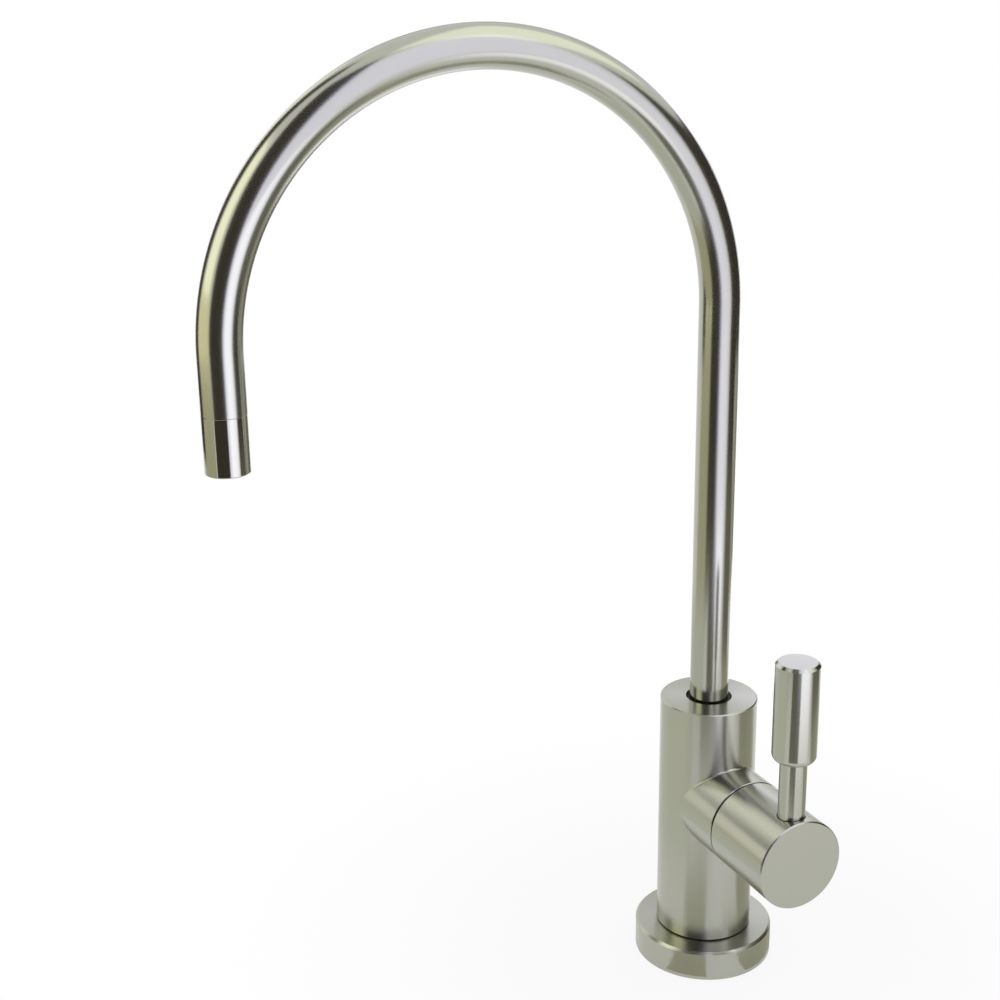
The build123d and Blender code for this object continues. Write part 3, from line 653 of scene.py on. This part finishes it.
end_recipe(tree, keep_attribute(tree, swept, "lay", lay), given)

# %% [markdown]
# ## Finish of the swan neck
# The tube was polished along its length after bending, so its fine lines follow the bend. A pattern on plain
# coordinates would cut straight across the bend, so the noise is read on the kept attribute, where the third number
# is the distance along the tube: it is squeezed hard round the tube and barely along it. The tangent comes from the
# path's own direction.

# %% Swan neck material
def tube_nickel(name, look, lines_round=6000.0, lines_along=60.0):
    material, tree = new_material(name)
    lay = add(tree, "ShaderNodeAttribute", attribute_name="lay").outputs["Vector"]
    heading = add(tree, "ShaderNodeAttribute", attribute_name="heading").outputs["Vector"]
    lines = vector_maths(tree, "MULTIPLY", lay, (lines_round, lines_round, lines_along))
    normal = add(tree, "ShaderNodeTexCoord").outputs["Normal"]
    finish_metal(tree, lines, lay, vector_maths(tree, "CROSS_PRODUCT", heading, normal), look)
    return material


tube_finish = tube_nickel("satin_nickel_tube", {**satin_look, "roughness": 0.19, "anisotropy": 0.4, "bump": 0.03})
print("tube finish", tube_finish.name)

# %% Swan neck piece
tube_radius, tube_wall, seam_chamfer, seam_height = 0.00635, 0.0008, 0.00015, 0.209
tube_low, tube_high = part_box("spout_tube")
bend_radius = (tube_high.y - tube_low.y) / 2 - tube_radius
neck = plain_piece("swan_neck", neck_recipe, {
    "Radius": tube_radius, "Bend radius": bend_radius, "Riser start": tube_low.z,
    "Bend start": tube_high.z - tube_radius - bend_radius, "Drop end": seam_height, "Seam chamfer": seam_chamfer,
    "Steps": 260, "Facets": 72, "Finish": tube_finish}, tube_wall)
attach(neck, "spout")
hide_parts("spout_tube")

# %% [markdown]
# ## The threaded shank
# Below the base a 7/16 inch shank goes through the worktop. Its thread is one V groove that climbs in a helix. A
# sweep of a profile would overlap itself at each turn, so a flat grid is wrapped into a pipe instead: each column
# is slid up by its share of the pitch, which lays the rows along the helix, and the row's place in the pitch says
# how deep the groove is. The groove fades out at both ends, and the last rows turn in to make the bore.

# %% Shank: rows and columns of a flat grid
shank_sizes = ("Radius", "Bore", "Start", "End", "Pitch", "Depth", "Fade", "Row pitch share")
tree, given = geometry_recipe("threaded_shank", shank_sizes, ("Columns", "Row count"))
end_rows = 3.0
all_rows = maths(tree, "ADD", given["Row count"], end_rows)
grid = add(tree, "GeometryNodeMeshGrid", {
    "Size X": 1.0, "Size Y": 1.0, "Vertices X": given["Columns"], "Vertices Y": all_rows}).outputs["Mesh"]
spot = add(tree, "ShaderNodeSeparateXYZ", {0: add(tree, "GeometryNodeInputPosition").outputs["Position"]}).outputs
turn_share = maths(tree, "ADD", spot["X"], 0.5)
row = maths(tree, "MULTIPLY", maths(tree, "ADD", spot["Y"], 0.5), maths(tree, "SUBTRACT", all_rows, 1.0))
row = maths(tree, "ROUND", row)
length = maths(tree, "SUBTRACT", given["End"], given["Start"])
last_row = maths(tree, "SUBTRACT", given["Row count"], 1.0)
rise = maths(tree, "MULTIPLY", maths(tree, "DIVIDE", row, last_row), length)
from_start = maths(tree, "DIVIDE", rise, given["Fade"])
from_end = maths(tree, "DIVIDE", maths(tree, "SUBTRACT", length, rise), given["Fade"])
fade = remap(tree, maths(tree, "MINIMUM", from_start, from_end), smooth=True)
print("grid takes", len(tree.nodes), "nodes")

# %% Shank: slide and groove of the thread
flat_share = 0.12
slide = maths(tree, "MULTIPLY", maths(tree, "MULTIPLY", turn_share, given["Pitch"]), fade)
phase = maths(tree, "FRACT", maths(tree, "MULTIPLY", row, given["Row pitch share"]))
valley = maths(tree, "MULTIPLY", maths(tree, "ABSOLUTE", maths(tree, "SUBTRACT", phase, 0.5)), 2.0)
valley = remap(tree, valley, flat_share, 1.0 - flat_share)
groove = maths(tree, "MULTIPLY", maths(tree, "MULTIPLY", valley, given["Depth"]), fade)
thread_radius = maths(tree, "SUBTRACT", given["Radius"], groove)
thread_height = maths(tree, "ADD", given["Start"], maths(tree, "ADD", rise, slide))
print("grid and thread take", len(tree.nodes), "nodes")

# %% Shank: ends, bore and wrap
join_distance = 0.00001
on_thread = maths(tree, "LESS_THAN", row, maths(tree, "SUBTRACT", given["Row count"], 0.5))
past = maths(tree, "SUBTRACT", row, given["Row count"])
bore_row, at_top = maths(tree, "LESS_THAN", past, 1.5), maths(tree, "LESS_THAN", past, 0.5)
end_radius = choose(tree, bore_row, given["Radius"], given["Bore"], "FLOAT")
end_height = choose(tree, at_top, given["Start"], given["End"], "FLOAT")
radius = choose(tree, on_thread, end_radius, thread_radius, "FLOAT")
height = choose(tree, on_thread, end_height, thread_height, "FLOAT")
angle = maths(tree, "MULTIPLY", turn_share, math.tau)
place = add(tree, "ShaderNodeCombineXYZ", {
    "X": maths(tree, "MULTIPLY", radius, maths(tree, "COSINE", angle)),
    "Y": maths(tree, "MULTIPLY", radius, maths(tree, "SINE", angle)), "Z": height}).outputs["Vector"]
wrapped = add(tree, "GeometryNodeSetPosition", {"Geometry": grid, "Position": place}).outputs["Geometry"]
closed = add(tree, "GeometryNodeMergeByDistance", {"Geometry": wrapped, "Distance": join_distance})
shank_recipe = tree
end_recipe(tree, closed.outputs["Geometry"], given)

# %% Shank piece
shank_low, shank_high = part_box("threaded_shank")
inch, rows_per_turn = 0.0254, 8
shank_pitch, shank_bore, thread_depth, thread_fade = inch / 24, 0.003, 0.00057, 0.006
shank_rows = round((shank_high.z - shank_low.z) / shank_pitch * rows_per_turn)
shank = plain_piece("shank_with_thread", shank_recipe, {
    "Radius": shank_high.x, "Bore": shank_bore, "Start": shank_low.z, "End": shank_high.z, "Pitch": shank_pitch,
    "Depth": thread_depth, "Fade": thread_fade, "Row pitch share": 1.0 / rows_per_turn, "Columns": 57,
    "Row count": shank_rows, "Finish": upright_brass})
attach(shank, "tap")
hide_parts("threaded_shank")
print("thread turns:", round(shank_rows / rows_per_turn))
